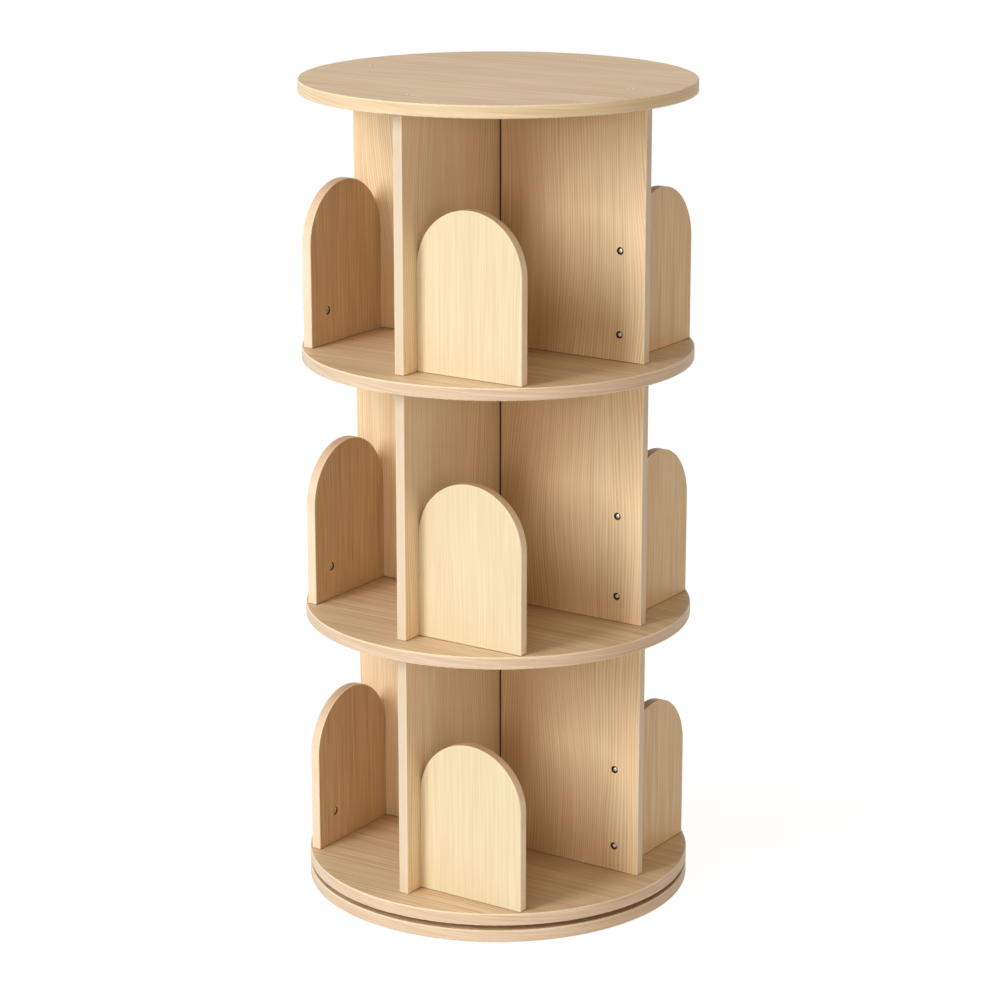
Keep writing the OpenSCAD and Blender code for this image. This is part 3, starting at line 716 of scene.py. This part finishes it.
def white_floor():
    """A pale floor that reads as white round the bookcase and keeps a faint shadow under it."""
    mesh = bpy.data.meshes.new("studio_floor")
    bm = bmesh.new()
    bmesh.ops.create_grid(bm, x_segments=1, y_segments=1, size=FLOOR_HALF_SIDE)
    bm.to_mesh(mesh)
    bm.free()
    floor = bpy.data.objects.new("studio_floor", mesh)
    bpy.context.scene.collection.objects.link(floor)
    material = new_material("white_floor")
    tree = material.node_tree
    matt = add(tree, "ShaderNodeBsdfDiffuse", {"Color": opaque(linear(FLOOR_BOUNCE))})["BSDF"]
    shadow = add(tree, "ShaderNodeBsdfDiffuse", {"Color": opaque(linear(FLOOR_SHADOW))})["BSDF"]
    white = add(tree, "ShaderNodeEmission", {"Color": opaque(WHITE), "Strength": FLOOR_WHITE})["Emission"]
    shaded = add(tree, "ShaderNodeAddShader", {0: white, 1: shadow})["Shader"]
    mixed = add(tree, "ShaderNodeMixShader", {0: studio_seen(tree), 1: matt, 2: shaded})["Shader"]
    close_material(tree, mixed)
    mesh.materials.append(material)


def soft_box(name, place, aim, height, power, colour):
    """A soft box that faces a point."""
    lamp = bpy.data.lights.new(name, "AREA")
    lamp.shape = "RECTANGLE"
    lamp.size = SOFT_BOX_WIDTH
    lamp.size_y = height
    lamp.energy = power
    lamp.color = colour
    light = bpy.data.objects.new(name, lamp)
    light.location = place
    light.rotation_euler = (Vector(aim) - Vector(place)).to_track_quat("-Z", "Y").to_euler()
    bpy.context.scene.collection.objects.link(light)
    return light


def around(azimuth, elevation, distance, centre):
    """A point round the bookcase: azimuth 0 is in front of it, on the -Y side."""
    a, e = math.radians(azimuth), math.radians(elevation)
    way = Vector((math.sin(a) * math.cos(e), -math.cos(a) * math.cos(e), math.sin(e)))
    return Vector(centre) + distance * way


class BOOKCASE_OT_stage(bpy.types.Operator):
    """Set the white studio, its lights and the camera"""

    bl_idname = "bookcase.stage"
    bl_label = "Set the studio"

    def execute(self, context):
        scene = context.scene
        studio = scene.bookcase_studio
        scene.view_settings.view_transform = "Standard"
        scene.world = white_world(studio)
        white_floor()
        middle = (CAD_BOX[0] + CAD_BOX[1]) / 2
        for name, (azimuth, elevation, height, power, colour) in SOFT_BOXES.items():
            place = around(azimuth, elevation, SOFT_BOX_DISTANCE, middle)
            light = soft_box(name, place, middle, height, power * studio.level, linear(colour))
            light.visible_glossy = name not in WITHOUT_SHINE
        lens = bpy.data.cameras.new("camera")
        lens.sensor_width = SENSOR_WIDTH
        lens.lens = studio.lens
        lens.shift_x = studio.sideways
        camera = bpy.data.objects.new("camera", lens)
        camera.location = (
            studio.distance * math.sin(studio.azimuth),
            -studio.distance * math.cos(studio.azimuth),
            studio.height)
        camera.rotation_euler = (math.pi / 2 - studio.pitch, 0, studio.azimuth)
        scene.collection.objects.link(camera)
        scene.camera = camera
        return {"FINISHED"}


class BOOKCASE_PT_panel(bpy.types.Panel):
    """The bookcase's settings and steps"""

    bl_idname = "BOOKCASE_PT_panel"
    bl_label = "Revolving bookcase"
    bl_space_type = "VIEW_3D"
    bl_region_type = "UI"
    bl_category = "Bookcase"

    def draw(self, context):
        layout = self.layout
        for name in GROUPS:
            group = getattr(context.scene, name)
            column = layout.column(align=True)
            for key in group.bl_rna.properties.keys():
                if key not in ("rna_type", "name"):
                    column.prop(group, key)
        for operator in STEPS:
            layout.operator(operator.bl_idname)


GROUPS = {
    "bookcase_veneer": BookcaseVeneer,
    "bookcase_fittings": BookcaseFittings,
    "bookcase_studio": BookcaseStudio,
}
STEPS = (
    BOOKCASE_OT_discs,
    BOOKCASE_OT_dividers,
    BOOKCASE_OT_arches,
    BOOKCASE_OT_fittings,
    BOOKCASE_OT_turntable,
    BOOKCASE_OT_stage,
)
CLASSES = (*GROUPS.values(), *STEPS, BOOKCASE_PT_panel)


def register():
    for cls in CLASSES:
        bpy.utils.register_class(cls)
    for name, group in GROUPS.items():
        setattr(bpy.types.Scene, name, bpy.props.PointerProperty(type=group))


def unregister():
    for name in GROUPS:
        delattr(bpy.types.Scene, name)
    for cls in reversed(CLASSES):
        bpy.utils.unregister_class(cls)


def main():
    register()
    bpy.ops.bookcase.discs()
    bpy.ops.bookcase.dividers()
    bpy.ops.bookcase.arches()
    bpy.ops.bookcase.fittings()
    bpy.ops.bookcase.turntable()
    bpy.ops.bookcase.stage()


if __name__ == "__main__":
    main()
